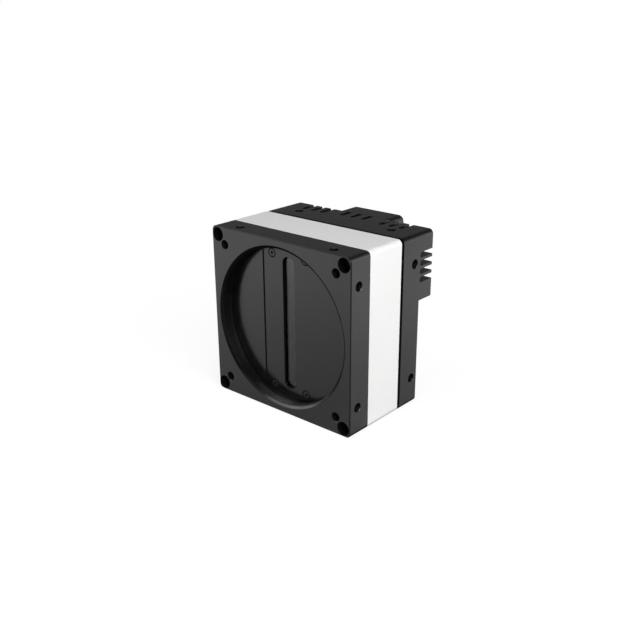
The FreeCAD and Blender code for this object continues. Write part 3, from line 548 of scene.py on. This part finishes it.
def black_steel():
    """Black oxide on steel, slightly oily, with the tone uneven from part to part."""
    made = Shading("black_steel", (0.045, 0.045, 0.048), 0.38, metallic=0.6)
    made.vary_colour(
        made.spread(made.noise(2.0, detail=4.0), 0.0, 1.0),
        (0.035, 0.035, 0.037),
        (0.07, 0.068, 0.066),
    )
    made.vary_roughness(made.noise(0.6, detail=3.0), 0.3, 0.5)
    made.bump(made.noise(0.1), 0.004, 0.4)
    return made


def turned_metal(name, dark, light, roughness):
    """Plated turned metal with fine tool marks."""
    made = Shading(name, light, roughness, metallic=1.0)
    made.vary_colour(made.spread(made.noise(1.5, detail=4.0), 0.0, 1.0), dark, light)
    made.vary_roughness(made.noise(0.8, detail=3.0), roughness - 0.04, roughness + 0.05)
    made.bump(made.noise(0.25, detail=1.0, stretch=(6.0, 0.5, 6.0)), 0.002, 0.15)
    return made


def moulded(name, base, roughness=0.5, grain=0.15):
    """Moulded plastic with spark-eroded grain."""
    made = Shading(name, base, roughness)
    brighter = tuple(min(1.0, value * 1.25 + 0.002) for value in base)
    made.vary_colour(made.spread(made.noise(3.0, detail=3.0), 0.0, 1.0), base, brighter)
    made.vary_roughness(made.noise(1.2, detail=3.0), roughness - 0.05, roughness + 0.08)
    made.bump(made.noise(grain, detail=3.0), 0.012, 0.5)
    return made


def circuit_laminate():
    """Green solder resist over a grid of copper tracks, with a scatter of plated dots."""
    green, track = (0.006, 0.065, 0.028), (0.014, 0.12, 0.05)
    made = Shading("board_laminate", green, 0.3)
    bricks = made.node("ShaderNodeTexBrick", offset=0.37, squash=0.6, squash_frequency=3)
    mapping = made.node("ShaderNodeMapping")
    mapping.inputs["Scale"].default_value = (260.0, 260.0, 260.0)
    mapping.inputs["Rotation"].default_value = (math.radians(90.0), 0.0, 0.0)
    made.link(made.place, mapping.inputs["Vector"])
    made.link(mapping.outputs["Vector"], bricks.inputs["Vector"])
    bricks.inputs["Mortar Size"].default_value = 0.055
    bricks.inputs["Scale"].default_value = 1.0
    dots = made.node("ShaderNodeTexVoronoi", feature="F1")
    dots.inputs["Scale"].default_value = 330.0
    made.link(made.place, dots.inputs["Vector"])
    tracks = made.vary_colour(bricks.outputs["Fac"], green, track)
    plated = made.node("ShaderNodeMix", data_type="RGBA")
    made.link(made.spread(dots.outputs["Distance"], 1.0, 0.0, 0.07, 0.09), plated.inputs["Factor"])
    made.link(tracks.outputs["Result"], plated.inputs["A"])
    plated.inputs["B"].default_value = (0.55, 0.5, 0.36, 1.0)
    made.link(plated.outputs["Result"], made.shader.inputs["Base Color"])
    made.bump(bricks.outputs["Fac"], 0.03, 0.6)
    return made


def sensor_glass():
    """Coated lid glass: mostly clear, slightly grey."""
    made = Shading("lid_glass", (0.5, 0.51, 0.52), 0.05, ior=1.53)
    made.shader.inputs["Transmission Weight"].default_value = 1.0
    made.bump(made.noise(9.0, detail=1.0), 0.003, 0.3)
    return made


def silicon_die():
    """The line sensor's die: dark silicon with fine cross lines where the cells are."""
    made = Shading("silicon", (0.012, 0.010, 0.02), 0.18)
    wave = made.node("ShaderNodeTexWave", bands_direction="Z")
    wave.inputs["Scale"].default_value = 1400.0
    made.link(made.place, wave.inputs["Vector"])
    made.vary_colour(wave.outputs["Fac"], (0.009, 0.008, 0.018), (0.03, 0.022, 0.05))
    return made


def light_guide():
    """The status light's pipe: clear moulded plastic, faintly green and cloudy."""
    made = Shading("light_guide", (0.75, 0.9, 0.78), 0.2, ior=1.49)
    made.shader.inputs["Transmission Weight"].default_value = 0.7
    made.vary_roughness(made.noise(0.5), 0.16, 0.28)
    made.bump(made.noise(0.3), 0.004, 0.4)
    return made


# ---------------------------------------------------------------- thread detail


def add_piece(name, points_mm, faces, material):
    """A smooth mesh that belongs to the part, from points in mm."""
    mesh = bpy.data.meshes.new(name)
    mesh.from_pydata([tuple(value * MM for value in point) for point in points_mm], [], faces)
    mesh.polygons.foreach_set("use_smooth", [True] * len(mesh.polygons))
    mesh.update()
    piece = bpy.data.objects.new(name, mesh)
    bpy.context.scene.collection.objects.link(piece)
    mesh.materials.append(material)
    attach(piece, "root")


def thread_ridge(radius, height, pitch, start, end, steps):
    """Points and faces, in mm, of a V ridge that winds along +Y inside a hole of that radius.

    The ridge fades in and out over half a turn at its ends. Steps are facets a turn.
    """
    turns = (end - start - pitch) / pitch
    count = int(turns * steps)
    root = radius + RIDGE_FOOT
    points, faces = [], []
    for index in range(count + 1):
        angle = 2.0 * math.pi * index / steps
        along = start + pitch * index / steps
        fade = min(1.0, 2.0 * index / steps, 2.0 * (count - index) / steps)
        crest = radius - height * fade
        for shift, reach in ((0.0, root), (CREST_START, crest), (CREST_END, crest), (1.0, root)):
            points.append(
                (reach * math.cos(angle), along + shift * pitch, reach * math.sin(angle))
            )
    for index in range(count):
        for side in range(3):
            first = index * 4 + side
            faces.append((first, first + 4, first + 5, first + 1))
    return points, faces


def lens_thread(material):
    """The M72 x 0.75 thread on the wall of the lens mount."""
    points, faces = thread_ridge(
        MOUNT_RADIUS, height=0.40, pitch=0.75, start=0.8, end=5.0, steps=200
    )
    add_piece("lens_thread", points, faces, material)


def hole_sites():
    """The mouth of each tapped hole, in mm, and the turn that brings +Y into it."""
    rear_low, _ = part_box("rear_housing")
    rear_row = rear_low.y / MM + REAR_HOLE_SETBACK
    side = HALF_FACE - SIDE_HOLE_INSET
    front = HALF_FACE - FRONT_HOLE_INSET
    sites = []
    for across in (-front, front):
        for up in (-front, front):
            sites.append(((across, 0.0, up), Matrix.Identity(3)))
    for row in (FRONT_HOLE_SETBACK, rear_row):
        for sign in (-1, 1):
            for offset in (-side, side):
                from_x = Matrix.Rotation(math.radians(90.0 * sign), 3, "Z")
                sites.append(((HALF_FACE * sign, row, offset), from_x))
                from_z = Matrix.Rotation(math.radians(-90.0 * sign), 3, "X")
                sites.append(((offset, row, HALF_FACE * sign), from_z))
    return sites


def hole_threads(material):
    """Thread lines in the M4 holes of the front face and the four sides."""
    ridge_points, ridge_faces = thread_ridge(
        HOLE_RADIUS, height=0.36, pitch=0.7, start=0.35, end=5.9, steps=28
    )
    points, faces = [], []
    for place, turn in hole_sites():
        base = len(points)
        points.extend(Vector(place) + turn @ Vector(point) for point in ridge_points)
        faces.extend(tuple(base + corner for corner in face) for face in ridge_faces)
    add_piece("mounting_hole_threads", points, faces, material)


def smooth_shading(mesh):
    """Smooth shading with hard edges kept hard."""
    mesh.polygons.foreach_set("use_smooth", [True] * len(mesh.polygons))
    mesh.set_sharp_from_angle(angle=math.radians(SMOOTH_ANGLE))


# ---------------------------------------------------------------- studio


def pale_floor_material():
    """Takes the shadow near the object, and is plain white far away.

    Rays that only light the object see a plain grey floor.
    """
    material = bpy.data.materials.new("pale_floor")
    material.use_nodes = True
    material.node_tree.nodes.clear()
    made = Nodes(material.node_tree)
    seen = made.total(made.matt(FLOOR_SHADE), made.glow(FLOOR_LIFT))
    mirrored = made.total(made.matt(MIRRORED_SHADE), made.glow(MIRRORED_LIFT))
    near = made.blend(made.rays("Is Camera Ray"), mirrored, seen)
    coordinates = made.node("ShaderNodeTexCoord")
    length = made.node("ShaderNodeVectorMath", operation="LENGTH")
    made.link(coordinates.outputs["Object"], length.inputs[0])
    far = made.above(length.outputs["Value"], WHITE_FLOOR_START, WHITE_FLOOR_END)
    sweep = made.blend(far, near, made.glow(1.0))
    shown = made.rays("Is Camera Ray", "Is Glossy Ray", "Is Transmission Ray")
    output = made.node("ShaderNodeOutputMaterial")
    made.link(made.blend(shown, made.matt(FLOOR_BOUNCE), sweep), output.inputs["Surface"])
    return material


def add_floor():
    """One large square just under the object."""
    level = cad_box[0][2]
    signs = ((-1, -1), (1, -1), (1, 1), (-1, 1))
    corners = [(FLOOR_HALF_SIDE * x, FLOOR_HALF_SIDE * y, level) for x, y in signs]
    mesh = bpy.data.meshes.new("floor")
    mesh.from_pydata(corners, [], [(0, 1, 2, 3)])
    mesh.materials.append(pale_floor_material())
    floor = bpy.data.objects.new("floor", mesh)
    bpy.context.scene.collection.objects.link(floor)


def add_softbox(name, direction, side, level):
    """A square lamp that alone would light a facing white surface to that level."""
    data = bpy.data.lights.new(name, "AREA")
    data.shape = "SQUARE"
    data.size = side
    data.energy = level * math.pi**2 * LAMP_DISTANCE**2
    lamp = bpy.data.objects.new(name, data)
    bpy.context.scene.collection.objects.link(lamp)
    aim = Vector(direction).normalized()
    lamp.location = AIM * MM + aim * LAMP_DISTANCE
    lamp.rotation_euler = aim.to_track_quat("Z", "Y").to_euler()


def add_world():
    """Dim all round, but white behind the object, and low down in what its metal reflects."""
    world = bpy.data.worlds.new("studio")
    bpy.context.scene.world = world
    world.use_nodes = True
    made = Nodes(world.node_tree)
    dim = made.tree.nodes["Background"]
    white = made.node("ShaderNodeBackground")
    for background, strength in ((dim, WORLD_LEVEL), (white, 1.0)):
        background.inputs["Color"].default_value = (1.0, 1.0, 1.0, 1.0)
        background.inputs["Strength"].default_value = strength
    coordinates = made.node("ShaderNodeTexCoord")
    parts = made.node("ShaderNodeSeparateXYZ")
    made.link(coordinates.outputs["Generated"], parts.inputs[0])
    low = made.below(parts.outputs["Z"], 0.0, SWEEP_HEIGHT)
    mirrored = made.product(made.rays("Is Glossy Ray", "Is Transmission Ray"), low)
    seen = made.largest(made.rays("Is Camera Ray"), mirrored)
    shown = made.blend(seen, dim.outputs[0], white.outputs[0])
    made.link(shown, made.tree.nodes["World Output"].inputs["Surface"])


# ---------------------------------------------------------------- the scene

bpy.context.scene.view_settings.view_transform = "Standard"
add_camera()
add_world()
add_floor()
for lamp_name, lamp_direction, lamp_side, lamp_level in LAMPS:
    add_softbox(lamp_name, lamp_direction, lamp_side, lamp_level)

post_greys = (0.55, 0.53, 0.48), (0.72, 0.70, 0.64)
contact_golds = (0.75, 0.52, 0.16), (0.92, 0.68, 0.28)
shell_greys = (0.60, 0.60, 0.59), (0.68, 0.68, 0.66)
slot_looks = {
    "black_anodised": black_anodised("black_anodised"),
    "light_paint": light_paint(),
    "dark_rubber": rubber("dark_rubber", 0.004),
    "black_steel": black_steel(),
    "lid_glass": sensor_glass(),
    "sensor_ceramic": moulded("sensor_ceramic", (0.02, 0.018, 0.017), 0.45),
    "silicon": silicon_die(),
    "board_laminate": circuit_laminate(),
    "moulded_black": moulded("moulded_black", (0.012, 0.012, 0.013)),
    "moulded_cream": moulded("moulded_cream", (0.62, 0.56, 0.44)),
    "plated_post": turned_metal("plated_post", *post_greys, 0.28),
    "gold_contact": turned_metal("gold_contact", *contact_golds, 0.2),
    "plated_shell": turned_metal("plated_shell", *shell_greys, 0.24),
    "grey_pad": rubber("grey_pad", 0.28),
    "light_guide": light_guide(),
}
node_looks = {
    "lens_mount_plate": black_anodised("anodised_plate", shade_masks=plate_painted_shade),
    "rear_housing": black_anodised("anodised_rear", specular=REAR_SHEEN, shade_masks=rear_painted_shade),
    "sensor_cover": black_anodised("anodised_cover", shade_masks=cover_painted_shade),
    "cover_screws": black_anodised(
        "blackened_screw", base=0.012, roughness=0.36, shade_masks=cover_painted_shade
    ),
}
slot_of = {part["node"]: part["material_slot"] for part in frame["record"]["subparts"]}
for node, piece in nodes.items():
    smooth_shading(piece.data)
    look = node_looks.get(node, slot_looks[slot_of[node]])
    piece.data.materials.clear()
    piece.data.materials.append(look.material)

# Painted shade: the lens thread is darker than the plate, and its sheen fades towards the upper
# left.
shaded_thread_metal = black_anodised(
    "anodised_thread_shade", base=0.004, roughness=0.3, shade_masks=mount_thread_shade
)
lens_thread(shaded_thread_metal.material)
# Painted shade: the threads in the tapped holes are darker still and keep only a little sheen.
shaded_hole_metal = anodised_skin(
    "anodised_hole_shade", base=0.002, roughness=0.4, specular=SHEEN * DEEP_SHEEN
)
hole_threads(shaded_hole_metal.material)
